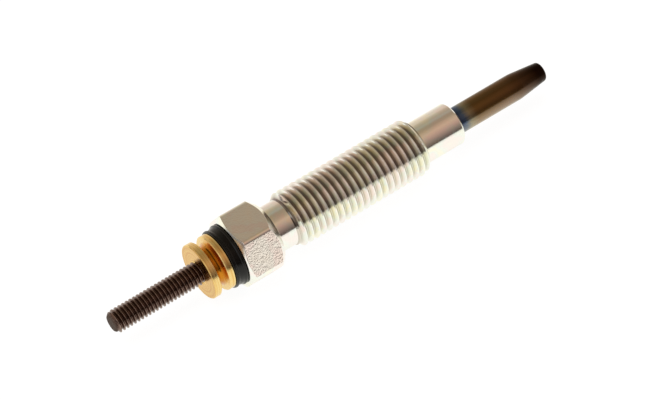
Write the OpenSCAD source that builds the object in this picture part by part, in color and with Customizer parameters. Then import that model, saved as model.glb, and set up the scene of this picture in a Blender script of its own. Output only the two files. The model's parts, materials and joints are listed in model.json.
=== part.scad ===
// Sheathed diesel glow plug, lying on one flat of its hexagon.
// Its axis runs along X: the terminal stud points to -X, the heater tip to +X.
// All lengths are in millimetres.

/* [Terminal stud] */
// Major diameter of the terminal thread
stud_d = 4; // [3.4:0.1:5]
// Pitch of the terminal thread
stud_pitch = 0.7; // [0.5:0.05:0.8]
// Length of the stud in front of the round nut
stud_len = 16.8; // [10:0.1:25]
// Chamfer on the free end of the stud
stud_chamfer = 0.6; // [0.2:0.1:1]

/* [Round nut] */
// Outer diameter of the two flanges
nut_d = 9.8; // [8.6:0.1:12]
// Diameter of the groove floor between the flanges
nut_groove_d = 6.7; // [6:0.1:8]
// Thickness of the front flange
nut_front = 1.3; // [0.8:0.05:2.5]
// Width of the groove
nut_groove = 1.55; // [0.6:0.05:3]
// Thickness of the rear flange
nut_rear = 1.2; // [0.8:0.05:2.5]
// Chamfer on the flange rims
nut_chamfer = 0.15; // [0.05:0.05:0.3]
// Room around the stud at the countersunk mouths of the nut
nut_mouth = 0.25; // [0.1:0.05:0.4]
// Corner radius at the foot of the groove, where it leaves some floor and wall
nut_fillet = 0.7; // [0.1:0.05:1]

/* [Insulating bush] */
// Diameter of the bush head beside the nut
bush_front_d = 10.4; // [9:0.1:11.4]
// Diameter of the bush head against the hexagon
bush_rear_d = 10.8; // [9:0.1:11.4]
// Thickness of the bush head
bush_head = 2.1; // [1.4:0.1:4]
// Edge radius of the bush head
bush_round = 0.25; // [0.1:0.05:0.3]
// Width of the two lips of the bush head
bush_lip = 0.4; // [0.35:0.05:0.45]
// Depth of the waist between the lips
bush_waist = 0.2; // [0.05:0.05:0.2]
// Length of the sleeve inside the housing
bush_sleeve = 4.2; // [2:0.1:6]

/* [Housing] */
// Width of the hexagon across flats
hex_af = 12; // [11.5:0.5:14]
// Length of the hexagon
hex_len = 7.3; // [5:0.1:10]
// Diameter of the flat front face inside the front chamfer
hex_front_d = 11.4; // [11:0.1:11.5]
// Diameter of the flat rear face inside the rear chamfer
hex_rear_d = 10.4; // [9.6:0.1:11.5]
// Slope of the front chamfer on the hexagon, in degrees
hex_front_deg = 30; // [20:1:45]
// Slope of the rear chamfer on the hexagon, in degrees
hex_rear_deg = 45; // [20:1:50]
// Diameter of the relief neck behind the hexagon
neck_d = 8.2; // [7.8:0.1:9]
// Length of the relief neck
neck_len = 3.3; // [2:0.1:8]
// Radius where the neck meets the hexagon
neck_fillet = 0.4; // [0.2:0.1:0.7]
// Major diameter of the mounting thread
thread_d = 10; // [9.4:0.1:12]
// Length of the mounting thread
thread_len = 26.6; // [18:0.1:40]
// Chamfer at the front end of the mounting thread
thread_chamfer = 0.7; // [0.4:0.1:0.8]
// Diameter of the smooth front shank
shank_d = 7.5; // [7:0.1:8]
// Length of the front shank
shank_len = 7.85; // [4:0.05:12]
// Edge break on the front shoulder
shank_chamfer = 0.3; // [0.1:0.1:0.6]

/* [Heater sheath] */
// Diameter of the straight part of the sheath
sheath_d = 4.7; // [4.5:0.1:5.4]
// Wall of the sheath
sheath_wall = 0.5; // [0.4:0.05:0.6]
// Length of the sheath in front of the housing
sheath_out = 18.7; // [14:0.1:28]
// Length of the sheath pressed into the housing
sheath_press = 14.6; // [10:0.1:20]
// Diameter at the small end of the taper
tip_d = 3.5; // [3.3:0.1:4.2]
// Length of the taper
taper_len = 5.15; // [3:0.05:8]
// Edge radius of the closed end
tip_round = 0.5; // [0.3:0.1:0.7]
// Thickness of the closed end
tip_wall = 0.9; // [0.8:0.1:1.5]

/* [Heater core] */
// Diameter of the resistance wire
wire_d = 0.36; // [0.3:0.02:0.44]
// Turns of the heating coil
heating_turns = 14; // [8:1:18]
// Pitch of the heating coil
heating_pitch = 0.6; // [0.5:0.05:0.7]
// Pitch of the control coil
control_pitch = 0.8; // [0.6:0.05:1.2]
// Straight wire at each end of a coil
wire_tail = 0.5; // [0.4:0.1:0.9]
// Magnesia between the coil and the sheath at the tip
fill_skin = 0.22; // [0.15:0.01:0.26]
// Length of the rubber seal in the sheath's open end
seal_len = 2; // [1:0.1:3]

/* [Centre rod] */
// Diameter of the rod where it enters the sheath
rod_neck_d = 2.6; // [2.2:0.1:2.8]
// Length of the rod neck inside the sheath
rod_neck_len = 7; // [5:0.1:9]
// Length of the nose that carries the control coil
rod_nose_len = 4; // [2:0.1:5]
// Air gap around the rod in the main bore
rod_gap = 0.5; // [0.3:0.05:0.6]

/* [Seal ring and fits] */
// Section diameter of the sealing ring around the rod
oring_d = 1.8; // [1.4:0.1:2]
// Clearance of the insulating bush on the rod and in the housing
bush_fit = 0.05; // [0.02:0.01:0.1]
// Clearance between the coils and what they lie against
coil_fit = 0.05; // [0.04:0.01:0.1]

/* [Hidden] */

$fn = 96;
arc_steps = 6;
wire_sides = 6;
steps_per_turn = 12;
// Overshoot of cutting tools past the faces they cut
cut = 1;

// The stud's thread is rolled on a rod of its pitch diameter, which is also where the nut meets it
pitch_depth = 0.6495;
rod_d = stud_d - pitch_depth * stud_pitch;

// Places along X, from the stud's free end to the heater tip
nut_len = nut_front + nut_groove + nut_rear;
overall = stud_len + nut_len + bush_head + hex_len + neck_len + thread_len + shank_len + sheath_out;
axis_z = hex_af / 2;
x_stud = -overall / 2;
x_nut = x_stud + stud_len;
x_bush = x_nut + nut_len;
x_hex = x_bush + bush_head;
x_shoulder = x_hex + hex_len + neck_len + thread_len + shank_len;
x_sheath = x_shoulder - sheath_press;
x_ring = x_hex + bush_sleeve;
x_floor = x_ring + oring_d;

// Housing
hex_corner_r = hex_af / 2 / cos(30);
neck_z = hex_len;
thread_z = neck_z + neck_len;
shank_z = thread_z + thread_len;
shoulder_z = shank_z + shank_len;
counterbore_d = rod_d + 2 * oring_d;
main_bore_d = rod_d + 2 * rod_gap;

// Heater, measured along the sheath from its open end
sheath_len = sheath_press + sheath_out;
sheath_in_r = sheath_d / 2 - sheath_wall;
taper_end = sheath_len - tip_round;
taper_start = taper_end - taper_len;
inside_end = sheath_len - tip_wall;
tip_in_r = tip_d / 2 - sheath_wall;
inside_end_r = sheath_in_r - (sheath_in_r - tip_in_r) * (inside_end - taper_start) / taper_len;
coil_out_r = tip_in_r - fill_skin;
coil_r = coil_out_r - wire_d / 2;
core_r = coil_r - wire_d / 2 - coil_fit;
channel_r = coil_out_r + coil_fit;
nose_end = rod_neck_len + rod_nose_len;
coil_start = rod_neck_len + coil_fit;
coil_join = inside_end - 2 * wire_tail - heating_turns * heating_pitch;
control_turns = (coil_join - coil_start - 2 * wire_tail) / control_pitch;

// Lays what is drawn around +Z along the plug's axis, from place x
module on_axis(x) {
    translate([x, 0, axis_z]) rotate([0, 90, 0]) children();
}

// A quarter arc in the profile plane, around centre, between two angles
function arc(centre, r, from, to) =
    [for (i = [0:arc_steps]) centre + r * [cos(from + (to - from) * i / arc_steps),
                                           sin(from + (to - from) * i / arc_steps)]];

// Hexagon with turned chamfers at both ends
module hex_head() {
    over_r = hex_corner_r + cut;
    front_rise = (over_r - hex_front_d / 2) * tan(hex_front_deg);
    rear_rise = (over_r - hex_rear_d / 2) * tan(hex_rear_deg);
    intersection() {
        rotate(30) cylinder(r = hex_corner_r, h = hex_len, $fn = 6);
        rotate_extrude() polygon([
            [0, 0], [hex_front_d / 2, 0], [over_r, front_rise],
            [over_r, hex_len - rear_rise], [hex_rear_d / 2, hex_len], [0, hex_len]
        ]);
    }
}

// Neck, thread envelope and front shank, turned in one piece with the hexagon
module turned_shaft() {
    neck_r = neck_d / 2;
    thread_r = thread_d / 2;
    shank_r = shank_d / 2;
    rotate_extrude() polygon(concat(
        [[0, neck_z - cut], [neck_r + neck_fillet, neck_z - cut]],
        arc([neck_r + neck_fillet, neck_z + neck_fillet], neck_fillet, 270, 180),
        [[neck_r, thread_z], [thread_r, thread_z + thread_r - neck_r],
         [thread_r, shank_z - thread_chamfer], [thread_r - thread_chamfer, shank_z],
         [shank_r, shank_z],
         [shank_r, shoulder_z - shank_chamfer], [shank_r - shank_chamfer, shoulder_z], [0, shoulder_z]]
    ));
}

// Steel shell: hexagon, mounting thread, front shank and the stepped bore
module housing() {
    color([0.73, 0.70, 0.64]) on_axis(x_hex) difference() {
        union() {
            hex_head();
            turned_shaft();
        }
        translate([0, 0, -cut]) cylinder(d = counterbore_d, h = x_floor - x_hex + cut);
        cylinder(d = main_bore_d, h = shoulder_z);
        translate([0, 0, x_sheath - x_hex]) cylinder(d = sheath_d, h = sheath_press + cut);
    }
}

// Profile of the space inside the sheath, from place z to its closed end
function inside_profile(z, inner_r) = [
    [inner_r, z], [sheath_in_r, z], [sheath_in_r, taper_start],
    [inside_end_r, inside_end], [inner_r, inside_end]
];

// Closed-end heat-resistant tube, pressed into the front of the housing
module heater_sheath() {
    tip_r = tip_d / 2;
    color([0.26, 0.18, 0.11]) on_axis(x_sheath) difference() {
        rotate_extrude() polygon(concat(
            [[0, 0], [sheath_d / 2, 0], [sheath_d / 2, taper_start]],
            arc([tip_r - tip_round, taper_end], tip_round, 0, 90),
            [[0, sheath_len]]
        ));
        rotate_extrude() polygon(inside_profile(0, 0));
        translate([0, 0, -cut]) cylinder(r = sheath_in_r, h = 2 * cut);
    }
}

// Route of a wire: a straight tail, a helix and another tail, as [angle, z] pairs
function coil_route(z, turns, pitch, angle) =
    let (steps = ceil(turns * steps_per_turn))
    concat(
        [[angle, z]],
        [for (i = [0:steps]) [angle + 360 * turns * i / steps, z + wire_tail + turns * pitch * i / steps]],
        [[angle + 360 * turns, z + 2 * wire_tail + turns * pitch]]
    );

// Round wire swept along a route on the coil's cylinder
module coil(route) {
    count = len(route);
    centre = [for (p = route) [coil_r * cos(p[0]), coil_r * sin(p[0]), p[1]]];
    rings = [for (i = [0:count - 1])
        let (
            ahead = centre[min(i + 1, count - 1)] - centre[i],
            behind = centre[i] - centre[max(i - 1, 0)],
            along = (i == 0 ? ahead : ahead / max(norm(ahead), wire_d / 100))
                  + (i == count - 1 ? behind : behind / max(norm(behind), wire_d / 100)),
            outward = [cos(route[i][0]), sin(route[i][0]), 0],
            across = cross(along, outward) / norm(cross(along, outward))
        )
        for (k = [0:wire_sides - 1])
            centre[i] + wire_d / 2 * (cos(360 * k / wire_sides) * outward + sin(360 * k / wire_sides) * across)
    ];
    skin = [for (i = [0:count - 2], k = [0:wire_sides - 1])
        let (
            a = i * wire_sides + k,
            b = i * wire_sides + (k + 1) % wire_sides
        )
        each [[a, a + wire_sides, b], [b, a + wire_sides, b + wire_sides]]];
    first = [[for (k = [0:wire_sides - 1]) k]];
    last = [[for (k = [wire_sides - 1:-1:0]) (count - 1) * wire_sides + k]];
    polyhedron(points = rings, faces = concat(skin, first, last));
}

// Front coil, welded to the inside of the sheath's closed end
module heating_coil() {
    color([0.55, 0.52, 0.48]) on_axis(x_sheath)
        coil(coil_route(coil_join, heating_turns, heating_pitch, 360 * control_turns));
}

// Rear coil, wound on the nose of the rod and welded to the heating coil
module control_coil() {
    color([0.62, 0.60, 0.56]) on_axis(x_sheath)
        coil(coil_route(coil_start, control_turns, control_pitch, 0));
}

// Compacted powder around the coils, and the core of powder inside them
module magnesia_fill() {
    color([0.90, 0.89, 0.85]) on_axis(x_sheath) {
        difference() {
            rotate_extrude() polygon(inside_profile(seal_len, 0));
            translate([0, 0, seal_len - cut]) cylinder(d = rod_neck_d, h = rod_neck_len - seal_len + cut);
            cylinder(r = channel_r, h = sheath_len);
        }
        translate([0, 0, nose_end]) cylinder(r = core_r, h = inside_end - nose_end);
    }
}

// Rubber plug that closes the sheath around the rod
module sheath_seal() {
    color([0.16, 0.15, 0.15]) on_axis(x_sheath) difference() {
        cylinder(r = sheath_in_r, h = seal_len);
        translate([0, 0, -cut]) cylinder(d = rod_neck_d, h = seal_len + 2 * cut);
    }
}

// Steel conductor from the terminal stud to the control coil
module centre_rod() {
    stud_r = stud_d / 2;
    neck_from = x_sheath - x_stud - rod_gap;
    neck_to = x_sheath - x_stud + rod_neck_len;
    color([0.24, 0.20, 0.19]) on_axis(x_stud) rotate_extrude() polygon([
        [0, 0], [stud_r - stud_chamfer, 0], [stud_r, stud_chamfer], [stud_r, stud_len],
        [rod_d / 2, stud_len], [rod_d / 2, neck_from], [rod_neck_d / 2, neck_from],
        [rod_neck_d / 2, neck_to], [core_r, neck_to], [core_r, neck_to + rod_nose_len], [0, neck_to + rod_nose_len]
    ]);
}

// Elastic ring that keeps gas and moisture out of the main bore
module seal_ring() {
    color([0.10, 0.10, 0.10]) on_axis(x_ring + oring_d / 2)
        rotate_extrude() translate([(rod_d + oring_d) / 2, 0]) circle(d = oring_d);
}

// Moulded bush: a flared head with two lips under the nut, and a sleeve in the counterbore
module insulating_bush() {
    front_r = bush_front_d / 2;
    rear_r = bush_rear_d / 2;
    bore_r = stud_d / 2 + bush_fit;
    sleeve_r = counterbore_d / 2 - bush_fit;
    waist_z = bush_lip + bush_waist;
    color([0.07, 0.07, 0.07]) on_axis(x_bush) rotate_extrude() polygon(concat(
        [[bore_r, 0]],
        arc([front_r - bush_round, bush_round], bush_round, 270, 360),
        [[front_r, bush_lip], [front_r - bush_waist, waist_z],
         [rear_r - bush_waist, bush_head - waist_z], [rear_r, bush_head - bush_lip]],
        arc([rear_r - bush_round, bush_head - bush_round], bush_round, 0, 90),
        [[sleeve_r, bush_head], [sleeve_r, bush_head + bush_sleeve], [bore_r, bush_head + bush_sleeve]]
    ));
}

// Grooved brass nut that clamps the bush and the rod to the housing
module round_nut() {
    nut_r = nut_d / 2;
    groove_r = nut_groove_d / 2;
    bore_r = rod_d / 2;
    mouth_r = stud_d / 2 + nut_mouth;
    sink = mouth_r - bore_r;
    groove_to = nut_front + nut_groove;
    c = nut_chamfer;
    foot_r = min(nut_fillet, (nut_groove - c) / 2, nut_r - groove_r - 2 * c);
    color([0.84, 0.66, 0.33]) on_axis(x_nut) rotate_extrude() polygon(concat(
        [[mouth_r, 0], [nut_r - c, 0], [nut_r, c], [nut_r, nut_front - c], [nut_r - c, nut_front]],
        arc([groove_r + foot_r, nut_front + foot_r], foot_r, 270, 180),
        arc([groove_r + foot_r, groove_to - foot_r], foot_r, 180, 90),
        [[nut_r - c, groove_to], [nut_r, groove_to + c], [nut_r, nut_len - c], [nut_r - c, nut_len],
         [mouth_r, nut_len], [bore_r, nut_len - sink], [bore_r, sink]]
    ));
}

housing();
heater_sheath();
heating_coil();
control_coil();
magnesia_fill();
sheath_seal();
centre_rod();
seal_ring();
insulating_bush();
round_nut();
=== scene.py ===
# %% [markdown]
# A diesel glow plug, from solids to a picture.
# The plug is already built as solids: a steel housing, a heater sheath, a black bush, a brass nut and a
# steel rod, with the heater's coils and powder inside. This lesson loads those solids as a fixed frame,
# cuts the threads that the solids leave out, breaks the edges that a turning tool would break, and gives
# each piece the finish of its real material. Nothing is moved or resized.

# %% Load the solids
import json
import math

import bmesh
import bpy
import numpy as np
from mathutils import Matrix, Vector


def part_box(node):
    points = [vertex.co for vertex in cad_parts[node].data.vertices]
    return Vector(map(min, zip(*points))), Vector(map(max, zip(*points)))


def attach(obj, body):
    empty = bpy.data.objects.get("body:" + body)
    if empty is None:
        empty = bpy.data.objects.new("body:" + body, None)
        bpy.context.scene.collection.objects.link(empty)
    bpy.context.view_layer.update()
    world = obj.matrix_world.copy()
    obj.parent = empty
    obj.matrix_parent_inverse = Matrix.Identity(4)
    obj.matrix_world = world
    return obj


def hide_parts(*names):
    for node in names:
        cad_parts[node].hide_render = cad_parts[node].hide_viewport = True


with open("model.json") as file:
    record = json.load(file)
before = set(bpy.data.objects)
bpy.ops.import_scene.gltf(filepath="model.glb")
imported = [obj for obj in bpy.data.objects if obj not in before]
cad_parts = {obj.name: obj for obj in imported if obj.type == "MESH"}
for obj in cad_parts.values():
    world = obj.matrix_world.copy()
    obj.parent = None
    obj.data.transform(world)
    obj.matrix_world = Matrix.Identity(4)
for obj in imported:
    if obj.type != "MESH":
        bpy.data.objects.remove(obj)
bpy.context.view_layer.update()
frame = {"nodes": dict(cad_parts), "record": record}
print("solids:", ", ".join(sorted(frame["nodes"])))

# %% [markdown]
# Every place on this plug is a distance along its axis and a radius around it, so the frame is read that
# way, in millimetres. Only sizes that a box can't tell, such as the neck's radius, are named further down.

# %% Measure the solids
MM = 0.001


def reach(node):
    """First and last place along the axis and widest radius of a solid, in millimetres."""
    low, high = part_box(node)
    return low.x / MM, high.x / MM, (high.y - low.y) / 2 / MM


hex_from, shoulder, _ = reach("housing")
nut_from, nut_to, nut_r = reach("round_nut")
bush_from, bush_to, bush_r = reach("insulating_bush")
stud_from, nose_to, stud_r = reach("centre_rod")
sheath_from, tip, sheath_r = reach("heater_sheath")
_, counterbore_floor, counterbore_r = reach("seal_ring")
half_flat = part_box("housing")[1].z / MM / 2
axis_z = half_flat
mounts = {mount["name"]: mount for mount in frame["record"]["mounts"]}
crest_length = mounts["head_thread"]["dims"]["length_mm"]
crest_from = mounts["head_thread"]["pos_m"][0] / MM - crest_length / 2
crest_to = crest_from + crest_length
thread_r = mounts["head_thread"]["dims"]["r_mm"]
print(f"plug from {stud_from:.2f} to {tip:.2f} mm, axis {axis_z:.2f} mm above the table")

# %% [markdown]
# The photograph looks down on the plug from the stud's end, with the plug climbing to the right. Its camera
# is set up from that: how far the line of sight leans towards the stud, how steeply it falls seen along the
# plug, how the plug slopes in the picture, and how large one millimetre appears. A camera could also be
# pushed about by hand, but built from a few measured values it can be corrected one value at a time.

# %% Place the camera
IMAGE_W = 658
SENSOR_W = 36
lean = math.radians(20)
pitch_down = math.radians(57.5)
slope = math.radians(30.49)
distance = 500
pixels_per_mm = 6.1
aim_x = 4.165
aim_along_px = 30
aim_across_px = -3.7

look = Vector((
    math.sin(lean), math.cos(lean) * math.cos(pitch_down), -math.cos(lean) * math.sin(pitch_down)))
along = (Vector((1, 0, 0)) - math.sin(lean) * look) / math.cos(lean)
across = look.cross(along)
aim = Vector((aim_x, 0, axis_z))
offset = (aim_along_px * along + aim_across_px * across) / pixels_per_mm
picture_right = math.cos(slope) * along + math.sin(slope) * across
picture_down = math.cos(slope) * across - math.sin(slope) * along

camera = bpy.data.objects.new("camera", bpy.data.cameras.new("camera"))
camera.data.sensor_width = SENSOR_W
camera.data.lens = pixels_per_mm * distance / IMAGE_W * SENSOR_W
camera.matrix_world = Matrix.Translation((aim - offset - distance * look) * MM) @ Matrix(
    (picture_right, -picture_down, -look)).transposed().to_4x4()
bpy.context.scene.collection.objects.link(camera)
bpy.context.scene.camera = camera
print(f"camera: {camera.data.lens:.0f} mm lens, {distance} mm away")

# %% [markdown]
# Colours are written as sRGB hex values, as a paint chart gives them, and turned to linear light by one
# function. One more function adds a shader node: it sets the node's properties, puts the stops on a colour
# ramp, and fills the inputs with values or with another node's output. Filling is a step of its own, because
# the shader that every new material already has is filled in the same way.

# %% Colours and nodes
def linear(code):
    """Linear RGBA of an sRGB hex colour."""
    parts = [int(code[i:i + 2], 16) / 255 for i in (0, 2, 4)]
    return [c / 12.92 if c <= 0.04045 else ((c + 0.055) / 1.055) ** 2.4 for c in parts] + [1]


def fill(tree, node, inputs):
    """Fills the inputs of a node. An output socket is linked, any other value is set."""
    for name, value in inputs.items():
        if isinstance(value, bpy.types.NodeSocket):
            tree.links.new(value, node.inputs[name])
        else:
            node.inputs[name].default_value = value


def add(tree, kind, inputs, stops=(), **settings):
    """Adds a node to a tree, with its settings, its inputs and the stops of its colour ramp."""
    node = tree.nodes.new(kind)
    for name, value in settings.items():
        setattr(node, name, value)
    fill(tree, node, inputs)
    for i, (place, code) in enumerate(stops):
        ramp = node.color_ramp.elements
        stop = ramp[i] if i < 2 else ramp.new(place)
        stop.position = place
        stop.color = linear(code)
    return node


print(f"hex 808080 is {linear('808080')[0]:.3f} in linear light")

# %% [markdown]
# Bright metal has hardly any colour of its own: it shows the room. In the photograph the plug lies on a
# white table, so every face that looks down mirrors white, and the faces that look up mirror a dim, warm
# room. A picture of a room could be wrapped around the plug, but a few plain sides are easier to match. The
# near side rises from the table's dark edge and the far side is paler. A pale wall stands at the heater's
# end, a bright window at the stud's end, and a narrow dark screen beside the window, with low light behind.
# The window draws the thin bright line along every thread, and the screen fills the nut's groove.

# %% The sides of the room
# Ramps go by height: 0 is the horizon and 1 is straight up
room_ramps = {
    "near": [(0.0, "FFFEF6"), (0.052, "FFFEF6"), (0.07, "463D36"), (0.25, "807068"), (0.41, "A08B7C"),
             (0.5, "B49889"), (0.7, "CAAD93"), (0.8, "A28D76")],
    "far": [(0.0, "DDCFBF"), (0.06, "DCCDBC"), (0.18, "D8C8B6"), (0.32, "BCAC96"), (0.45, "A99C87"),
            (0.585, "A4A091"), (0.66, "9B8A74"), (0.8, "A28D76")],
    "window": [(0.0, "FFFFFF"), (0.05, "FFFFFF"), (0.08, "A89C92"), (0.12, "B4A89E"), (0.2, "FFFFFF"),
               (0.5, "FFFFFF")],
    "behind_screen": [(0.08, "F4EFE6"), (0.24, "4E3E38")],
}
# An edge is an axis of the direction, where the edge starts on it, and where it is full
room_edges = {
    "wall": ("X", 0.57, 0.63), "window": ("X", -0.66, -0.8), "far": ("Y", -0.05, 0.15),
    "screen_from": ("X", -0.05, -0.2), "screen_to": ("X", -0.6, -0.45)}
wall_colour = linear("D2C8BA")
screen_colour = linear("453C36")
print("room:", len(room_ramps), "ramps by height and", len(room_edges), "edges by direction")

# %% [markdown]
# The room is the world's colour, worked out from the direction of a ray. Its height above the horizon picks a
# tone from each ramp, and its X and Y parts give the share of each side. The sides are then laid over one
# another, from the near side to the far side. The camera itself sees plain white.

# %% The room
world = bpy.data.worlds.new("room")
world.use_nodes = True
bpy.context.scene.world = world
tree = world.node_tree
tree.nodes.clear()
direction = add(tree, "ShaderNodeTexCoord", {})
part = add(tree, "ShaderNodeSeparateXYZ", {"Vector": direction.outputs["Generated"]})
angle = add(tree, "ShaderNodeMath", {0: part.outputs["Z"]}, operation="ARCSINE")
height = add(tree, "ShaderNodeMath", {0: angle.outputs[0], 1: math.pi / 2}, operation="DIVIDE")
tones = {}
for name, stops in room_ramps.items():
    tones[name] = add(tree, "ShaderNodeValToRGB", {"Fac": height.outputs[0]}, stops=stops).outputs["Color"]
share = {}
for name, (axis, start, full) in room_edges.items():
    edge = add(tree, "ShaderNodeMapRange", {"Value": part.outputs[axis], "From Min": start, "From Max": full})
    share[name] = edge.outputs[0]
screen = add(tree, "ShaderNodeMath", {0: share["screen_from"], 1: share["screen_to"]}, operation="MULTIPLY")
near = tones["near"]
for cover, tone in (
        (share["wall"], wall_colour), (screen.outputs[0], screen_colour), (share["window"], tones["window"])):
    near = add(tree, "ShaderNodeMix", {0: cover, 6: near, 7: tone}, data_type="RGBA").outputs[2]
far = add(tree, "ShaderNodeMix", {0: screen.outputs[0], 6: tones["far"], 7: tones["behind_screen"]},
          data_type="RGBA")
colour = add(tree, "ShaderNodeMix", {0: share["far"], 6: near, 7: far.outputs[2]}, data_type="RGBA")
seen = add(tree, "ShaderNodeLightPath", {})
walls = add(tree, "ShaderNodeBackground", {"Color": colour.outputs[2], "Strength": 1})
white = add(tree, "ShaderNodeBackground", {"Color": linear("FFFFFF"), "Strength": 1})
either = add(tree, "ShaderNodeMixShader", {
    0: seen.outputs["Is Camera Ray"], 1: walls.outputs[0], 2: white.outputs[0]})
add(tree, "ShaderNodeOutputWorld", {"Surface": either.outputs[0]})
print("room:", len(tree.nodes), "nodes")

# %% [markdown]
# The table is one large square, a hair below the plug so that the two never share a face. It belongs to
# the picture and not to the part.

# %% The table
TABLE_HALF = 1500
TABLE_DROP = 0.01
bpy.ops.mesh.primitive_plane_add(size=2 * TABLE_HALF * MM, location=(0, 0, -TABLE_DROP * MM))
table = bpy.context.object
table.name = "table"
print("table:", 2 * TABLE_HALF, "mm square")

# %% [markdown]
# A sheet of white board covers the table. Camera, mirror and glass rays see it as white by a little glow,
# and a share of plain diffuse white under that keeps the plug's soft shadow. Mirrors see the sheet turn a
# little warmer behind the plug, away from the window, and end on a dark bench beyond the stud: that end is
# the grey band on the hexagon's front chamfer. Other rays meet ordinary white board. Lamps strong enough to
# burn the board white would burn the plug too, which is why the white is a glow.

# %% The white board
GLOW = 0.93
SHADE = 0.12
# An edge is an axis of the table, where the edge starts on it in millimetres, and where it is full
sheet_edges = {"behind_plug": ("Y", 8, 40), "beside_hexagon": ("X", -24, -14), "bench": ("X", -55, -85)}
sheet_tints = [(0.0, "FFFEF6"), (1.0, "DDCFBF")]
bench_colour = linear("4C4A4C")
board = bpy.data.materials.new("white_board")
board.use_nodes = True
tree = board.node_tree
tree.nodes.clear()
seen = add(tree, "ShaderNodeLightPath", {})
mirrored = add(tree, "ShaderNodeMath", {
    0: seen.outputs["Is Glossy Ray"], 1: seen.outputs["Is Transmission Ray"]}, operation="MAXIMUM")
shown = add(tree, "ShaderNodeMath", {
    0: seen.outputs["Is Camera Ray"], 1: mirrored.outputs[0]}, operation="MAXIMUM")
place = add(tree, "ShaderNodeTexCoord", {})
spot = add(tree, "ShaderNodeSeparateXYZ", {"Vector": place.outputs["Object"]})
share = {}
for name, (axis, start, full) in sheet_edges.items():
    edge = add(tree, "ShaderNodeMapRange", {
        "Value": spot.outputs[axis], "From Min": start * MM, "From Max": full * MM})
    share[name] = edge.outputs[0]
warm = add(tree, "ShaderNodeMath", {
    0: share["behind_plug"], 1: share["beside_hexagon"]}, operation="MULTIPLY")
paper = add(tree, "ShaderNodeValToRGB", {"Fac": warm.outputs[0]}, stops=sheet_tints).outputs["Color"]
for cover, tone in ((share["bench"], bench_colour), (seen.outputs["Is Camera Ray"], linear("FFFFFF"))):
    paper = add(tree, "ShaderNodeMix", {0: cover, 6: paper, 7: tone}, data_type="RGBA").outputs[2]
light = add(tree, "ShaderNodeEmission", {"Color": paper, "Strength": GLOW})
soft = add(tree, "ShaderNodeBsdfDiffuse", {"Color": [SHADE, SHADE, SHADE, 1]})
bright = add(tree, "ShaderNodeAddShader", {0: light.outputs[0], 1: soft.outputs[0]})
plain = add(tree, "ShaderNodeBsdfDiffuse", {"Color": linear("E6E6E4")})
surface = add(tree, "ShaderNodeMixShader", {0: shown.outputs[0], 1: plain.outputs[0], 2: bright.outputs[0]})
add(tree, "ShaderNodeOutputMaterial", {"Surface": surface.outputs[0]})
table.data.materials.append(board)
print("white board:", len(tree.nodes), "nodes")

# %% [markdown]
# Two soft lamps light what isn't metal, the black bush and the table, and give the shadow. They are kept
# out of mirror reflections, because the plug's metal shows only the room and the table.

# %% The lamps
# Each lamp has a place and a size in millimetres, and a power in watts
lamps = {"lamp_over": ((-120, 80, 520), 420, 2.2), "lamp_front": ((-260, -420, 300), 300, 0.9)}
for name, (place, size, watts) in lamps.items():
    lamp = bpy.data.objects.new(name, bpy.data.lights.new(name, "AREA"))
    lamp.data.size = size * MM
    lamp.data.energy = watts
    lamp.location = Vector(place) * MM
    lamp.rotation_mode = "QUATERNION"
    lamp.rotation_quaternion = (Vector((0, 0, axis_z)) * MM - lamp.location).to_track_quat("-Z", "Y")
    lamp.visible_glossy = False
    bpy.context.scene.collection.objects.link(lamp)
    print(f"{name}: {watts} W from {size} mm")

# %% [markdown]
# Every outer piece of the plug is turned, so each is drawn as half an outline: a chain of corners, each a
# place on the axis, a radius, and how far that corner is rounded. A real turned edge is never quite sharp,
# and it is the rounding that catches the light. Smooth shading would bend the flats beside a rounding too,
# and a bent flat mirrors the wrong part of the room, so one more point holds each side straight just beyond
# the arc. The hexagon's corners differ around the piece, so a place or a radius may also be one value for
# each column of the mesh. A bevel modifier could round a plain mesh, but here each rounding is known, so it
# goes into the outline.

# %% Rounded outlines
ARC_STEPS = 3
HOLD = 0.2
HOLD_MAX = 0.06


def rounded(corners, steps=ARC_STEPS):
    """Rounds the corners (place, radius, rounding) of an outline, as a list of (place, radius)."""
    spots = [np.array(np.broadcast_arrays(np.atleast_1d(x), r), dtype=float) for x, r, _ in corners]
    outline = [spots[0]]
    for i in range(1, len(corners) - 1):
        rounding = corners[i][2]
        if rounding == 0:
            outline.append(spots[i])
            continue
        before, at, after = np.broadcast_arrays(*spots[i - 1:i + 2])
        back = (before - at) / np.linalg.norm(before - at, axis=0)
        ahead = (after - at) / np.linalg.norm(after - at, axis=0)
        half = np.arccos(np.clip((back * ahead).sum(axis=0), -1, 1)) / 2
        middle = at + (back + ahead) / np.linalg.norm(back + ahead, axis=0) * rounding / np.sin(half)
        first = at + back * rounding / np.tan(half) - middle
        last = at + ahead * rounding / np.tan(half) - middle
        sweep = math.pi - 2 * half
        hold = min(HOLD * rounding, HOLD_MAX)
        outline.append(middle + first + back * hold)
        for t in np.linspace(0, 1, steps + 1):
            swung = np.sin((1 - t) * sweep) * first + np.sin(t * sweep) * last
            outline.append(middle + swung / np.sin(sweep))
        outline.append(middle + last + ahead * hold)
    return outline + [spots[-1]]


print("an edge of three corners becomes", len(rounded([(0, 0, 0), (0, 1, 0.1), (1, 1, 0)])), "points")

# %% [markdown]
# The outline is swept around the axis in columns. The last column lies on the first, and welding points at
# the same place closes the seam, the tips on the axis and the ends of the threads in one step. A screw
# modifier could sweep it too, but the hexagon and the threads need a radius that changes around the axis.

# %% Turned skins
COLUMNS = 128
WELD = 0.0004
SHARP_DEG = 38
even_columns = np.linspace(0, 2 * math.pi, COLUMNS + 1)


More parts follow.
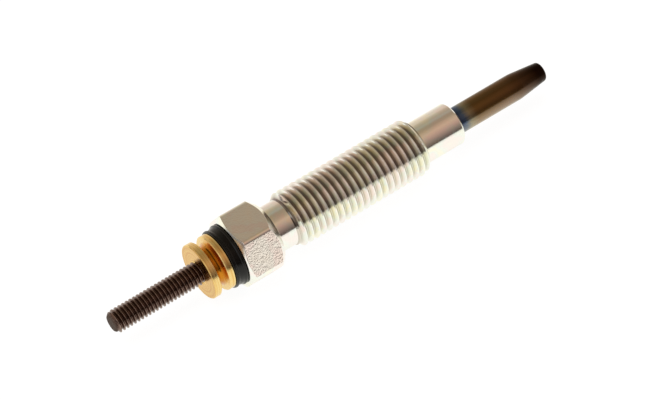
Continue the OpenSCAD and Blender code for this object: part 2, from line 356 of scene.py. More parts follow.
def turned(name, outline, columns=even_columns, closed=False):
    """A welded mesh through rings of (place, radius), in millimetres, around the plug's axis."""
    x = np.array([np.broadcast_to(ring[0], columns.shape) for ring in outline])
    r = np.array([np.broadcast_to(ring[1], columns.shape) for ring in outline])
    points = np.stack((x, r * np.cos(columns), axis_z + r * np.sin(columns)), axis=-1).reshape(-1, 3)
    rows, wide = x.shape
    faces = []
    for i in range(rows if closed else rows - 1):
        here, there = i * wide, (i + 1) % rows * wide
        faces += [(here + k, here + k + 1, there + k + 1, there + k) for k in range(wide - 1)]
    mesh = bpy.data.meshes.new(name)
    mesh.from_pydata((points * MM).tolist(), [], faces)
    skin = bmesh.new()
    skin.from_mesh(mesh)
    bmesh.ops.remove_doubles(skin, verts=skin.verts, dist=WELD * MM)
    bmesh.ops.dissolve_degenerate(skin, edges=skin.edges, dist=WELD * MM)
    bmesh.ops.recalc_face_normals(skin, faces=skin.faces)
    for face in skin.faces:
        face.smooth = True
    open_edges = sum(not edge.is_manifold for edge in skin.edges)
    skin.to_mesh(mesh)
    skin.free()
    mesh.set_sharp_from_angle(angle=math.radians(SHARP_DEG))
    piece = bpy.data.objects.new(name, mesh)
    bpy.context.scene.collection.objects.link(piece)
    print(f"{name}: {len(mesh.vertices)} points, {len(mesh.polygons)} faces, {open_edges} open edges")
    return piece


print("turned pieces have", COLUMNS, "columns")

# %% [markdown]
# A metric thread is one outline repeated along a helix: a rounded root, two flanks at 60 degrees, and a
# crest an eighth of the pitch wide. A straight grid would saw across the crests, so the rows of this mesh
# climb with the helix: each column starts a little further along than the one before, and after one turn it
# has moved by one pitch. Where a row runs past the thread's end it is held there, and an envelope trims the
# crests to the run-out and the chamfer.

# %% Threads
THREAD_DEPTH = 0.6134
CREST_SHARE = 1 / 8
FLANK_DEG = 30
THREAD_STEPS = 2


def thread_outline(pitch, crest_r, crest_round, root_round):
    """One pitch of a metric thread from root to root, as places and radii."""
    depth = THREAD_DEPTH * pitch
    flank = depth * math.tan(math.radians(FLANK_DEG))
    crest = pitch * CREST_SHARE / 2
    middle, root_r = pitch / 2, crest_r - depth
    outline = rounded([
        (0, root_r, 0),
        (middle - crest - flank, root_r, root_round),
        (middle - crest, crest_r, crest_round),
        (middle + crest, crest_r, crest_round),
        (middle + crest + flank, root_r, root_round),
        (pitch, root_r, 0),
    ], steps=THREAD_STEPS)
    return np.array(outline)[:, :, 0].T


def threaded(pitch, profile, envelope, columns):
    """Rings that follow a right-hand helix between the ends of an envelope of places and radii."""
    places, radii = profile
    start, end = envelope[0][0], envelope[0][-1]
    climb = columns / (2 * math.pi) * pitch
    rings = []
    for lap in range(-1, math.ceil((end - start) / pitch) + 1):
        for place in places[:-1]:
            x = np.clip(start + lap * pitch + place + climb, start, end)
            on_thread = np.interp(np.mod(x - start - climb, pitch), places, radii)
            rings.append((x, np.minimum(on_thread, np.interp(x, *envelope))))
    return rings


mount_pitch = 1.25
mount_profile = thread_outline(mount_pitch, thread_r, crest_round=0.1, root_round=0.12)
stud_pitch = 0.7
stud_profile = thread_outline(stud_pitch, stud_r, crest_round=0.05, root_round=0.065)
print(f"M{2 * thread_r:.0f} x {mount_pitch} and M{2 * stud_r:.0f} x {stud_pitch}, both right-handed")

# %% [markdown]
# The housing starts as hexagon bar. Its six corners are slightly rounded, as drawn bar is, so the mesh gets
# extra columns around each corner and the flats stay flat. A turning tool cuts a cone on each end of the
# hexagon: where the cone meets a flat it leaves the arc that every nut shows. A prism cut by two cones
# would give the same shape, but one radius for each column keeps the hexagon and the turned parts in one
# clean mesh.

# %% Hexagon
SIDES = 6
SECTOR = 2 * math.pi / SIDES
CORNER_ROUND = 0.8
COLUMN_DEG = 3
SAME_COLUMN_DIGITS = 6
hex_length = 7.3
front_r = 5.7
rear_r = 5.2
front_chamfer = math.tan(math.radians(30))
rear_chamfer = math.tan(math.radians(45))
round_centre = (half_flat - CORNER_ROUND) / math.cos(SECTOR / 2)
flat_share = math.atan((half_flat - CORNER_ROUND) * math.tan(SECTOR / 2) / half_flat)
corner_share = SECTOR / 2 - flat_share


def hexagon(columns):
    """Radius of the rounded hexagon at each column, with one flat on the table."""
    from_corner = np.mod(columns + SECTOR / 2, SECTOR) - SECTOR / 2
    on_flat = half_flat / np.cos(SECTOR / 2 - np.abs(from_corner))
    dip = np.clip(CORNER_ROUND ** 2 - (round_centre * np.sin(from_corner)) ** 2, 0, None)
    on_round = round_centre * np.cos(from_corner) + np.sqrt(dip)
    return np.where(np.abs(from_corner) < corner_share, on_round, on_flat)


# Columns across each rounded corner, as shares of its half width
beside_corner = np.array([-1.3, -1, -0.67, -0.33, 0, 0.33, 0.67, 1, 1.3]) * corner_share
corner_columns = (np.arange(SIDES + 1)[:, None] * SECTOR + beside_corner).ravel()
hex_columns = np.concatenate((np.arange(0, 360, COLUMN_DEG) * math.pi / 180, corner_columns))
hex_columns = hex_columns[(hex_columns >= 0) & (hex_columns < 2 * math.pi)]
hex_columns = np.append(np.unique(np.round(hex_columns, SAME_COLUMN_DIGITS)), 2 * math.pi)
hex_r = hexagon(hex_columns)
hex_to = hex_from + hex_length
print(f"hexagon: {len(hex_columns) - 1} columns, {hex_r.min() * 2:.2f} mm across flats")

# %% [markdown]
# Behind the hexagon the bar is turned down to a relief neck, the mounting thread and a smooth shank, and
# bored from both ends. All of it is one piece of steel, so all of it is one closed skin.

# %% Housing
# Roundings of a broken edge and of the foot or rim of a step
EDGE = 0.1
FOOT = 0.12
counterbore_edge = 0.15
face_edge = 0.08
neck_r = 4.1
neck_fillet = 0.4
thread_end_r = 4.3
shank_r = 3.75
shank_edge = 0.3
bore_r = 2.2725
thread_from = crest_from - (thread_r - neck_r)
thread_to = crest_to + (thread_r - thread_end_r)
head = rounded([
    (counterbore_floor, counterbore_r, 0),
    (hex_from, counterbore_r, counterbore_edge),
    (hex_from, front_r, face_edge),
    (hex_from + (hex_r - front_r) * front_chamfer, hex_r, EDGE),
    (hex_to - (hex_r - rear_r) * rear_chamfer, hex_r, EDGE),
    (hex_to, rear_r, FOOT),
    (hex_to, neck_r, neck_fillet),
    (thread_from - HOLD_MAX, neck_r, 0),
    (thread_from, neck_r, 0),
])
thread = threaded(mount_pitch, mount_profile, (
    [thread_from, crest_from, crest_to, thread_to], [neck_r, thread_r, thread_r, thread_end_r]), hex_columns)
front = rounded([
    (thread_to, thread_end_r, 0),
    (thread_to, shank_r, FOOT),
    (shoulder - shank_edge, shank_r, EDGE),
    (shoulder, shank_r - shank_edge, EDGE),
    (shoulder, sheath_r, 0),
    (sheath_from, sheath_r, 0),
    (sheath_from, bore_r, 0),
    (counterbore_floor, bore_r, 0),
])
housing = turned("housing_shell", head + thread + front[1:], hex_columns, closed=True)

# %% [markdown]
# The centre rod carries the current. Its free end is the terminal stud, with a rolled M4 thread and a
# chamfered start. The thread runs up to the nut. Behind it the rod is plain, then it narrows inside the
# sheath and ends in the nose that carries the control coil. What lies inside the plug can't be seen, so it
# is a plain list of corners without roundings.

# %% Centre rod
stud_chamfer = 0.6
end_ring_r = 0.8
rod_r = 1.7725
thread_fade = 0.08
rod_gap = 0.5
rod_neck_r = 1.3
nose_r = 0.62
nose_length = 4
stud_end = [(stud_from, 0), (stud_from, end_ring_r), (stud_from, stud_r - stud_chamfer)]
stud = threaded(stud_pitch, stud_profile, (
    [stud_from, stud_from + stud_chamfer, nut_from - thread_fade, nut_from],
    [stud_r - stud_chamfer, stud_r, stud_r, rod_r]), even_columns)
inner = [
    (sheath_from - rod_gap, rod_r), (sheath_from - rod_gap, rod_neck_r), (nose_to - nose_length, rod_neck_r),
    (nose_to - nose_length, nose_r), (nose_to, nose_r), (nose_to, 0)]
rod = turned("terminal_rod", stud_end + stud + inner)

# %% [markdown]
# The round nut is turned from brass bar: two flanges with a groove between them. Its rims have small
# chamfers, its groove has a round floor, and both mouths of its bore are countersunk. The chamfers are
# corners of the outline and not bump in the material, because each one catches a bright line of its own.

# %% Round nut
# Roundings of a sharp rim and of the bore's mouth
RIM = 0.02
MOUTH = 0.05
flange_front = 1.3
flange_rear = 1.2
groove_r = 3.35
groove_foot = 0.7
rim_chamfer = 0.15
mouth_r = 2.25
groove_from = nut_from + flange_front
groove_to = nut_to - flange_rear
sink = mouth_r - rod_r
nut = turned("brass_nut", rounded([
    (nut_from + sink, rod_r, 0),
    (nut_from, mouth_r, MOUTH),
    (nut_from, nut_r - rim_chamfer, RIM),
    (nut_from + rim_chamfer, nut_r, RIM),
    (groove_from - rim_chamfer, nut_r, RIM),
    (groove_from, nut_r - rim_chamfer, RIM),
    (groove_from, groove_r, groove_foot),
    (groove_to, groove_r, groove_foot),
    (groove_to, nut_r - rim_chamfer, RIM),
    (groove_to + rim_chamfer, nut_r, RIM),
    (nut_to - rim_chamfer, nut_r, RIM),
    (nut_to, nut_r - rim_chamfer, RIM),
    (nut_to, mouth_r, MOUTH),
    (nut_to - sink, rod_r, 0),
]), closed=True)

# %% [markdown]
# The insulating bush is a moulded ring with a sleeve that reaches into the housing. The head flares a
# little towards the hexagon and ends in a soft lip on each side, with a shallow waist between them. More
# steps in each arc keep the moulded lips soft, where a turned edge does with three.

# %% Insulating bush
MOULD_STEPS = 5
BUSH_PLAY = 0.05
bush_front_r = 5.2
bush_edge = 0.25
bush_lip = 0.4
bush_sink = 0.2
waist_round = 0.3
bush_bore_r = stud_r + BUSH_PLAY
sleeve_r = counterbore_r - BUSH_PLAY
bush = turned("moulded_bush", rounded([
    (bush_to, bush_bore_r, 0),
    (bush_from, bush_bore_r, EDGE),
    (bush_from, bush_front_r, bush_edge),
    (bush_from + bush_lip, bush_front_r, EDGE),
    (bush_from + bush_lip + bush_sink, bush_front_r - bush_sink, waist_round),
    (hex_from - bush_lip - bush_sink, bush_r - bush_sink, waist_round),
    (hex_from - bush_lip, bush_r, EDGE),
    (hex_from, bush_r, bush_edge),
    (hex_from, sleeve_r, EDGE),
    (bush_to, sleeve_r, EDGE),
    (bush_to, bush_bore_r, 0),
], steps=MOULD_STEPS), closed=True)

# %% [markdown]
# The heater sheath is a thin tube of heat-resistant alloy, closed and swaged to a taper at its tip. Swaging
# leaves a soft bend where the taper starts and a rounded rim at the end. The skin runs from the inside of
# the closed end, out over the open end and along the outside to the tip.

# %% Heater sheath
SWAGE_STEPS = 6
sheath_bore_r = 1.85
tip_r = 1.75
tip_round = 0.5
rim_share = 0.9
taper_length = 5.15
tip_wall = 0.9
swage_bend = 9
taper_from = tip - tip_round - taper_length
inside_to = tip - tip_wall
inside_r = sheath_bore_r - (sheath_r - tip_r) * (inside_to - taper_from) / taper_length
taper_slope = (sheath_r - tip_r) / taper_length
sheath = turned("heater_tube", rounded([
    (inside_to, 0, 0),
    (inside_to, inside_r, 0),
    (taper_from, sheath_bore_r, 0),
    (sheath_from, sheath_bore_r, EDGE),
    (sheath_from, sheath_r, EDGE),
    (taper_from, sheath_r, swage_bend),
    (tip, tip_r - taper_slope * tip_round, tip_round * rim_share),
    (tip, 0, 0),
], steps=SWAGE_STEPS))

# %% [markdown]
# The housing is bright zinc plating on steel. Zinc is a pale, slightly warm mirror, and the clear
# passivation over it is a film thin enough to tint it faintly pink, green and yellow in patches a few
# millimetres wide. On the turned parts the tool's feed leaves rings too fine to see, so they are drawn
# coarser, just enough to streak the reflections. The film's colours could be worked out from its thickness,
# but a ramp over a noise gives the same faint patches, and its colours are simply listed.

# %% Finish: bright zinc on turned steel
TINT_PATCH = 4
FEED_DRAWN = 0.3
FEED_LENGTH = 25
FEED_DEPTH = 0.02
zinc_tints = [(0.25, "F9F5EE"), (0.42, "FAF2EF"), (0.52, "F3F7F2"), (0.62, "FCF9E8"), (0.75, "F6F4F5")]


def new_material(name):
    """A material, its node tree, its Principled shader, and the place on the plug in metres."""
    material = bpy.data.materials.new(name)
    material.use_nodes = True
    tree = material.node_tree
    spot = add(tree, "ShaderNodeTexCoord", {})
    return material, tree, tree.nodes["Principled BSDF"], spot.outputs["Object"]


def film_colour(tree, spot, tints):
    """Zinc seen through its passivation film, in patches of tints, as an output socket."""
    patch = add(tree, "ShaderNodeTexNoise", {
        "Vector": spot, "Scale": 1 / (TINT_PATCH * MM), "Detail": 3, "Distortion": 0.6})
    return add(tree, "ShaderNodeValToRGB", {"Fac": patch.outputs["Fac"]}, stops=tints).outputs["Color"]


turned_zinc, tree, shader, spot = new_material("bright_zinc_on_turned_steel")
feed = add(tree, "ShaderNodeMapping", {
    "Vector": spot, "Scale": (1 / (FEED_DRAWN * MM), 1 / (FEED_LENGTH * MM), 1 / (FEED_LENGTH * MM))})
rings = add(tree, "ShaderNodeTexNoise", {"Vector": feed.outputs[0], "Scale": 1, "Detail": 2})
gloss = add(tree, "ShaderNodeMapRange", {"Value": rings.outputs["Fac"], "To Min": 0.10, "To Max": 0.20})
relief = add(tree, "ShaderNodeBump", {
    "Height": rings.outputs["Fac"], "Strength": 0.05, "Distance": FEED_DEPTH * MM})
fill(tree, shader, {
    "Base Color": film_colour(tree, spot, zinc_tints), "Metallic": 1, "Roughness": gloss.outputs[0],
    "Normal": relief.outputs[0]})
print("turned zinc: tint patches of", TINT_PATCH, "mm")

# %% [markdown]
# On the thread the zinc is painted darker in the roots than on the crests, a painted shade for the shadow in
# the grooves, and darker again on the upper side, a painted shade of the top. So the tint goes by depth, told
# by the radius around the axis, and by height: one ramp for the lower side and one for the upper side.

# %% Finish: bright zinc on the mounting thread
# Painted shade of the thread's upper side starts and is full at these heights above the axis
TOP_SHADE_FROM = 2
TOP_SHADE_FULL = 3.2
root_r = thread_r - THREAD_DEPTH * mount_pitch
# Painted shade: both ramps darken the roots, and the second one, for the upper side, darkens them more
root_shade_depths = [(0.0, "DAD8D0"), (0.3, "F6F5EF"), (0.7, "FFFFFF")]
top_root_shade_depths = [(0.0, "989190"), (0.15, "BCB6B0"), (0.4, "E2DED8"), (0.9, "FFFFFF")]


def around_axis(tree, spot):
    """Distance of a point from the plug's axis, as an output socket."""
    centred = add(tree, "ShaderNodeMapping", {
        "Vector": spot, "Location": (0, 0, -axis_z * MM), "Scale": (0, 1, 1)})
    return add(tree, "ShaderNodeVectorMath", {0: centred.outputs[0]}, operation="LENGTH").outputs["Value"]


thread_zinc, tree, shader, spot = new_material("bright_zinc_on_thread")
lift = add(tree, "ShaderNodeMapRange", {
    "Value": around_axis(tree, spot), "From Min": root_r * MM, "From Max": thread_r * MM})
root_shade = add(tree, "ShaderNodeValToRGB", {"Fac": lift.outputs[0]}, stops=root_shade_depths)
top_root_shade = add(tree, "ShaderNodeValToRGB", {"Fac": lift.outputs[0]}, stops=top_root_shade_depths)
place = add(tree, "ShaderNodeSeparateXYZ", {"Vector": spot})
# Painted shade: the darker ramp takes over on the upper side
top_shade_share = add(tree, "ShaderNodeMapRange", {
    "Value": place.outputs["Z"], "From Min": (axis_z + TOP_SHADE_FROM) * MM,
    "From Max": (axis_z + TOP_SHADE_FULL) * MM})
painted_root_shade = add(tree, "ShaderNodeMix", {
    0: top_shade_share.outputs[0], 6: root_shade.outputs["Color"], 7: top_root_shade.outputs["Color"]}, data_type="RGBA")
both = add(tree, "ShaderNodeMix", {
    0: 1, 6: film_colour(tree, spot, zinc_tints), 7: painted_root_shade.outputs[2]},
    data_type="RGBA", blend_type="MULTIPLY")
grain = add(tree, "ShaderNodeTexNoise", {"Vector": spot, "Scale": 1 / (FEED_DRAWN * MM), "Detail": 2})
gloss = add(tree, "ShaderNodeMapRange", {"Value": grain.outputs["Fac"], "To Min": 0.08, "To Max": 0.18})
fill(tree, shader, {"Base Color": both.outputs[2], "Metallic": 1, "Roughness": gloss.outputs[0]})
print(f"thread zinc: dull at {root_r:.2f} mm, bright at {thread_r:.2f} mm")

# %% [markdown]
# The flats of the hexagon were never machined. They keep the skin of the drawn bar, which plating makes
# bright but not smooth: a peel of small dimples about 0.3 mm apart. On the flat that mirrors the table's
# edge each dimple picks either the white table or the dim room, so that flat looks speckled, while the top
# flat, which mirrors an even part of the room, stays calm. The dimples are bump and not mesh, because they
# are far too shallow to change the outline.

# %% Finish: bright zinc on drawn hexagon bar
DIMPLE = 0.3
DIMPLE_DEPTH = 0.038
bar_tints = [(0.3, "FBEBE1"), (0.45, "FAE8E1"), (0.55, "F7EFE7"), (0.7, "FBEFE4")]
drawn_zinc, tree, shader, spot = new_material("bright_zinc_on_drawn_bar")
peel = add(tree, "ShaderNodeTexNoise", {
    "Vector": spot, "Scale": 1 / (DIMPLE * MM), "Detail": 2, "Roughness": 0.6})
relief = add(tree, "ShaderNodeBump", {
    "Height": peel.outputs["Fac"], "Strength": 1, "Distance": DIMPLE_DEPTH * MM})
fill(tree, shader, {
    "Base Color": film_colour(tree, spot, bar_tints), "Metallic": 1, "Roughness": 0.16,
    "Normal": relief.outputs[0]})
print("drawn bar: dimples of", DIMPLE, "mm")

# %% [markdown]
# The sheath is a nickel-chromium alloy that was heated during assembly and use. Its oxide is a brown skin
# over ground metal: darkest at the tip, tan where it stayed cooler, and blue beside the housing, where the
# film is thinnest. So the colour goes by the place along the tube, with a little drift from one grinding line
# to the next, and a painted shade darkens the brown on the upper side.

# %% Finish: heat-tinted alloy
LINE_WIDTH = 0.25
LINE_LENGTH = 6
TINT_DRIFT = 0.06
# Painted shade of the tube's upper side starts and is full at these heights above the axis
SHEATH_SHADE_FROM = 0.4
SHEATH_SHADE_FULL = 1.6
# The colour of the painted shade on the upper side
top_shade_colour = linear("CCC6C0")
heat_tints = [(0.03, "22305A"), (0.1, "465E80"), (0.16, "928C72"), (0.24, "84662F"), (0.6, "7A5828"),
              (0.78, "523414"), (0.95, "241206")]
tinted_alloy, tree, shader, spot = new_material("heat_tinted_nickel_alloy")
place = add(tree, "ShaderNodeSeparateXYZ", {"Vector": spot})
heat = add(tree, "ShaderNodeMapRange", {
    "Value": place.outputs["X"], "From Min": shoulder * MM, "From Max": tip * MM})
lines_at = add(tree, "ShaderNodeMapping", {
    "Vector": spot, "Scale": (1 / (LINE_LENGTH * MM), 1 / (LINE_WIDTH * MM), 1 / (LINE_WIDTH * MM))})
lines = add(tree, "ShaderNodeTexNoise", {"Vector": lines_at.outputs[0], "Scale": 1, "Detail": 3})
drift = add(tree, "ShaderNodeMath", {
    0: lines.outputs["Fac"], 1: TINT_DRIFT, 2: heat.outputs[0]}, operation="MULTIPLY_ADD")
tint = add(tree, "ShaderNodeValToRGB", {"Fac": drift.outputs[0]}, stops=heat_tints)
# Painted shade: the upper side is darkened by height, except for the blue part beside the housing
upper_side_shade = add(tree, "ShaderNodeMapRange", {
    "Value": place.outputs["Z"], "From Min": (axis_z + SHEATH_SHADE_FROM) * MM,
    "From Max": (axis_z + SHEATH_SHADE_FULL) * MM})
shade_along = add(tree, "ShaderNodeMapRange", {"Value": heat.outputs[0], "From Min": 0.06, "From Max": 0.2})
shade_share = add(tree, "ShaderNodeMath", {0: upper_side_shade.outputs[0], 1: shade_along.outputs[0]}, operation="MULTIPLY")
tint_and_shade = add(tree, "ShaderNodeMix", {
    0: shade_share.outputs[0], 6: tint.outputs["Color"], 7: top_shade_colour},
    data_type="RGBA", blend_type="MULTIPLY")
fill(tree, shader, {"Base Color": tint_and_shade.outputs[2], "Metallic": 1})
print("sheath: blue at", round(shoulder, 1), "mm to dark brown at", round(tip, 1), "mm")

# %% [markdown]
# Fine grinding lines run along the tube, and they roughen it from line to line. The oxide over them is also a
# clear coat of its own, with a high index as metal oxides have. It adds a pale sheen where the tube mirrors
# the table and dies away at the burnt tip, and it is painted weaker on the upper side, a painted shade of the
# top.

# %% Finish: ground and oxidised skin of the sheath
LINE_DEPTH = 0.03
OXIDE_IOR = 2.05
oxide_colour = linear("F8EBD0")
gloss = add(tree, "ShaderNodeMapRange", {"Value": lines.outputs["Fac"], "To Min": 0.22, "To Max": 0.42})
relief = add(tree, "ShaderNodeBump", {
    "Height": lines.outputs["Fac"], "Strength": 0.15, "Distance": LINE_DEPTH * MM})
sheen = add(tree, "ShaderNodeMapRange", {
    "Value": heat.outputs[0], "From Min": 0.6, "From Max": 0.9, "To Min": 0.9, "To Max": 0.05})
# Painted shade: the coat's sheen is cut back on the upper side
top_sheen_cut = add(tree, "ShaderNodeMapRange", {"Value": upper_side_shade.outputs[0], "To Min": 1, "To Max": 0.16})
coat = add(tree, "ShaderNodeMath", {0: sheen.outputs[0], 1: top_sheen_cut.outputs[0]}, operation="MULTIPLY")
fill(tree, shader, {
    "Roughness": gloss.outputs[0], "Normal": relief.outputs[0], "Coat Weight": coat.outputs[0],
    "Coat IOR": OXIDE_IOR, "Coat Tint": oxide_colour, "Coat Roughness": 0.14})
print("sheath: grinding lines", LINE_WIDTH, "mm wide and", LINE_LENGTH, "mm long")

# %% [markdown]
# The nut is free-cutting brass, left as the lathe cut it. Its faces carry fine rings around the axis that
# spread each reflection sideways. Real feed marks are finer than a pixel, so they are drawn 0.4 mm apart. On
# a face they are counted by the radius and on a rim by the place along the axis, so the sum of both counts
# them everywhere.

# %% Finish: turned brass
RING_DRAWN = 0.4
RING_DEPTH = 0.03
brass_tints = [(0.3, "E6BC70"), (0.65, "F8DE9C")]
turned_brass, tree, shader, spot = new_material("turned_brass")
place = add(tree, "ShaderNodeSeparateXYZ", {"Vector": spot})
walk = add(tree, "ShaderNodeMath", {0: around_axis(tree, spot), 1: place.outputs["X"]}, operation="ADD")
count = add(tree, "ShaderNodeMath", {0: walk.outputs[0], 1: 1 / (RING_DRAWN * MM)}, operation="MULTIPLY")
marks = add(tree, "ShaderNodeTexNoise", {
    "W": count.outputs[0], "Scale": 1, "Detail": 2}, noise_dimensions="1D")
tint = add(tree, "ShaderNodeValToRGB", {"Fac": marks.outputs["Fac"]}, stops=brass_tints)
gloss = add(tree, "ShaderNodeMapRange", {"Value": marks.outputs["Fac"], "To Min": 0.14, "To Max": 0.32})
relief = add(tree, "ShaderNodeBump", {
    "Height": marks.outputs["Fac"], "Strength": 0.35, "Distance": RING_DEPTH * MM})
fill(tree, shader, {"Metallic": 1, "Roughness": gloss.outputs[0], "Normal": relief.outputs[0]})
print("brass: rings drawn", RING_DRAWN, "mm apart")

# %% [markdown]
# Handling keeps the nut's rims bright, but the floor of the groove keeps its brown tarnish, and the front
# face is painted a little deeper, a painted shade for the plug's shadow on the table that the face mirrors.
# Both are found by place: the floor by its radius between the two flanges, and the face by the first tenth
# of a millimetre of the nut.

# %% Finish: tarnish and a painted shade on the brass
TARNISH_FROM = 0.8
TARNISH_FULL = 0.1
FACE_FROM = 0.1
FACE_FULL = 0.03
tarnish_colour = linear("C88022")
# The colour of the painted shade on the nut's front face
deeper_face_colour = linear("EBD7AE")
inside = add(tree, "ShaderNodeMath", {
    0: place.outputs["X"], 1: (groove_from + groove_to) / 2 * MM, 2: (groove_to - groove_from) / 2 * MM},
    operation="COMPARE")
low = add(tree, "ShaderNodeMapRange", {
    "Value": around_axis(tree, spot), "From Min": (groove_r + TARNISH_FROM) * MM,
    "From Max": (groove_r + TARNISH_FULL) * MM})
film = add(tree, "ShaderNodeMath", {0: inside.outputs[0], 1: low.outputs[0]}, operation="MULTIPLY")
both = add(tree, "ShaderNodeMix", {
    0: film.outputs[0], 6: tint.outputs["Color"], 7: tarnish_colour}, data_type="RGBA")
# Painted shade: the front face is multiplied darker here
at_face = add(tree, "ShaderNodeMapRange", {
    "Value": place.outputs["X"], "From Min": (nut_from + FACE_FROM) * MM,
    "From Max": (nut_from + FACE_FULL) * MM})
tarnish_and_face_shade = add(tree, "ShaderNodeMix", {
    0: at_face.outputs[0], 6: both.outputs[2], 7: deeper_face_colour}, data_type="RGBA", blend_type="MULTIPLY")
fill(tree, shader, {"Base Color": tarnish_and_face_shade.outputs[2]})
print(f"brass: tarnish from {groove_from:.2f} to {groove_to:.2f} mm")

# %% [markdown]
# The bush is black phenolic moulding: a dark dielectric with a satin skin. It shows the table only where
# the eye meets it at a low angle, as a grey sheen. Fine filler in the moulding dulls it in specks. One
# noise sets its colour, its roughness and its relief together, as one speck of filler changes all three.

# %% Finish: black phenolic moulding
FILLER = 0.3
FILLER_DEPTH = 0.01
moulding_tints = [(0.3, "030303"), (0.75, "080706")]
black_moulding, tree, shader, spot = new_material("moulded_black_phenolic")
filler = add(tree, "ShaderNodeTexNoise", {"Vector": spot, "Scale": 1 / (FILLER * MM), "Detail": 4})
tint = add(tree, "ShaderNodeValToRGB", {"Fac": filler.outputs["Fac"]}, stops=moulding_tints)
gloss = add(tree, "ShaderNodeMapRange", {"Value": filler.outputs["Fac"], "To Min": 0.16, "To Max": 0.28})
relief = add(tree, "ShaderNodeBump", {
    "Height": filler.outputs["Fac"], "Strength": 0.1, "Distance": FILLER_DEPTH * MM})
fill(tree, shader, {
    "Base Color": tint.outputs["Color"], "IOR": 1.37, "Roughness": gloss.outputs[0],
    "Normal": relief.outputs[0]})
print("bush: filler of", FILLER, "mm")

# %% [markdown]
# The rod's thread was rolled and then darkened by oil and heat. It is still a metal, but a dim brown one, a
# little paler on its crests, partly from wear and partly as a painted highlight for the glints along them.
# The sheared end is the dullest. Both are found by place: the pale crests by the radius, and the end by the
# first tenths of a millimetre of the rod.

# %% Finish: darkened steel
STAIN = 0.8
# Paler crests, partly wear and partly a painted highlight, start and are full at these depths below the crest
WEAR_AND_GLINT_FROM = 0.14
WEAR_AND_GLINT_FULL = 0.02
SHEARED_TO = 0.05
METAL_FROM = 0.4
stain_tints = [(0.3, "604C44"), (0.7, "7C665E")]
worn_and_glint_colour = linear("8E7A70")
sheared_colour = linear("463830")
dark_steel, tree, shader, spot = new_material("heat_darkened_steel")
stain = add(tree, "ShaderNodeTexNoise", {"Vector": spot, "Scale": 1 / (STAIN * MM), "Detail": 4})
tint = add(tree, "ShaderNodeValToRGB", {"Fac": stain.outputs["Fac"]}, stops=stain_tints)
# Partly wear, partly a painted highlight: the crests are paler
wear_and_glint = add(tree, "ShaderNodeMapRange", {
    "Value": around_axis(tree, spot), "From Min": (stud_r - WEAR_AND_GLINT_FROM) * MM,
    "From Max": (stud_r - WEAR_AND_GLINT_FULL) * MM})
stain_wear_and_glint = add(tree, "ShaderNodeMix", {
    0: wear_and_glint.outputs[0], 6: tint.outputs["Color"], 7: worn_and_glint_colour}, data_type="RGBA")
place = add(tree, "ShaderNodeSeparateXYZ", {"Vector": spot})
inward = add(tree, "ShaderNodeMapRange", {
    "Value": place.outputs["X"], "From Min": (stud_from + SHEARED_TO) * MM,
    "From Max": (stud_from + METAL_FROM) * MM})
sheared = add(tree, "ShaderNodeMix", {
    0: inward.outputs[0], 6: sheared_colour, 7: stain_wear_and_glint.outputs[2]}, data_type="RGBA")
gloss = add(tree, "ShaderNodeMapRange", {"Value": stain.outputs["Fac"], "To Min": 0.14, "To Max": 0.3})
dull_end = add(tree, "ShaderNodeMapRange", {
    "Value": inward.outputs[0], "To Min": 0.8, "To Max": gloss.outputs[0]})
fill(tree, shader, {
    "Base Color": sheared.outputs[2], "Metallic": inward.outputs[0], "Roughness": dull_end.outputs[0]})
print("rod: stains of", STAIN, "mm")

# %% [markdown]
# Inside, hidden in the assembled plug, lie the coils, the powder and two rubber seals. Their solids already
# have the right shape, so they only get their materials: resistance wire with the fine grain that the drawing
# die leaves, pressed magnesia with the grain of a powder, and moulded rubber with a dull bloom. The three
# differ only in values, so one loop makes them.

# %% Finishes of the inner pieces
GRAIN_DEPTH = 0.03
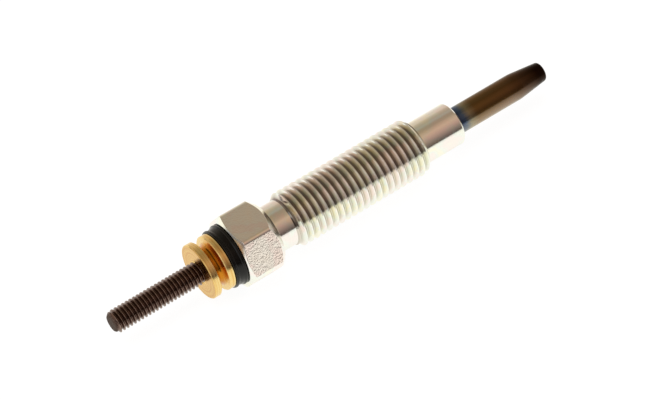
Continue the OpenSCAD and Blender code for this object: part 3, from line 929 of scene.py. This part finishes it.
# The pieces, the grain in millimetres, its dark and pale colour, metallic, and the range of roughness
inner_finishes = {
    "drawn_resistance_wire": (["heating_coil", "control_coil"], 0.15, "A39B8F", "C2BBB0", 1, 0.3, 0.45),
    "pressed_magnesia_powder": (["magnesia_fill"], 0.2, "DAD7CB", "F0EEE6", 0, 0.8, 0.95),
    "moulded_seal_rubber": (["sheath_seal", "seal_ring"], 0.5, "141414", "2A2929", 0, 0.5, 0.7),
}
for name, (nodes, grain, dark, pale, metallic, smooth, rough) in inner_finishes.items():
    finish, tree, shader, spot = new_material(name)
    grains = add(tree, "ShaderNodeTexNoise", {"Vector": spot, "Scale": 1 / (grain * MM), "Detail": 4})
    tint = add(tree, "ShaderNodeValToRGB", {"Fac": grains.outputs["Fac"]}, stops=[(0.3, dark), (0.7, pale)])
    gloss = add(tree, "ShaderNodeMapRange", {
        "Value": grains.outputs["Fac"], "To Min": smooth, "To Max": rough})
    relief = add(tree, "ShaderNodeBump", {
        "Height": grains.outputs["Fac"], "Strength": 0.3, "Distance": GRAIN_DEPTH * MM})
    fill(tree, shader, {
        "Base Color": tint.outputs["Color"], "Metallic": metallic, "Roughness": gloss.outputs[0],
        "Normal": relief.outputs[0]})
    for node in nodes:
        solid = frame["nodes"][node].data
        solid.materials.clear()
        solid.materials.append(finish)
    print(name, "on", ", ".join(nodes))

# %% [markdown]
# Each new piece now gets its finish, stands for its solid, and rides on the plug's one body. The housing
# has three finishes: the flats take the drawn bar's, the thread its own, all else the turned one.

# %% Dress the pieces
for piece, node, slot, finishes in (
        (housing, "housing", "zinc_plated_steel", (turned_zinc, drawn_zinc, thread_zinc)),
        (sheath, "heater_sheath", "heat_tinted_alloy", (tinted_alloy,)),
        (bush, "insulating_bush", "black_moulding", (black_moulding,)),
        (nut, "round_nut", "turned_brass", (turned_brass,)),
        (rod, "centre_rod", "dark_steel", (dark_steel,))):
    for finish in finishes:
        piece.data.materials.append(finish)
    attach(piece, "root")
    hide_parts(node)
    print(piece.name, "stands for", node)

# %% [markdown]
# A face of the housing takes its finish from where it lies: on a flat if it is as far out as a flat, away
# from the rounded corners and looks sideways, and on the thread if it lies between the thread's two ends,
# clear of the bore. The faces could be picked by hand, but a rule by place still holds when the mesh
# changes.

# %% Flats and thread of the housing
DRAWN_BAR, THREAD = 1, 2
FLAT_DEPTH = 0.2
SIDEWAYS = 0.3
BORE_CLEAR = 1
on_flats = 0
on_thread = 0
for face in housing.data.polygons:
    x, y, z = face.center.x / MM, face.center.y / MM, face.center.z / MM - axis_z
    out = math.hypot(y, z)
    beside_corners = abs((math.atan2(z, y) + SECTOR / 2) % SECTOR - SECTOR / 2) > corner_share
    if out > half_flat - FLAT_DEPTH and beside_corners and abs(face.normal.x) < SIDEWAYS and x < hex_to:
        face.material_index = DRAWN_BAR
        on_flats += 1
    if thread_from < x < thread_to and out > bore_r + BORE_CLEAR:
        face.material_index = THREAD
        on_thread += 1
print(on_flats, "faces keep the drawn bar's skin,", on_thread, "lie on the thread")

# %% [markdown]
# The picture is shown with the Standard view, so colours come out as they are written.

# %% Finish
bpy.context.scene.view_settings.view_transform = "Standard"
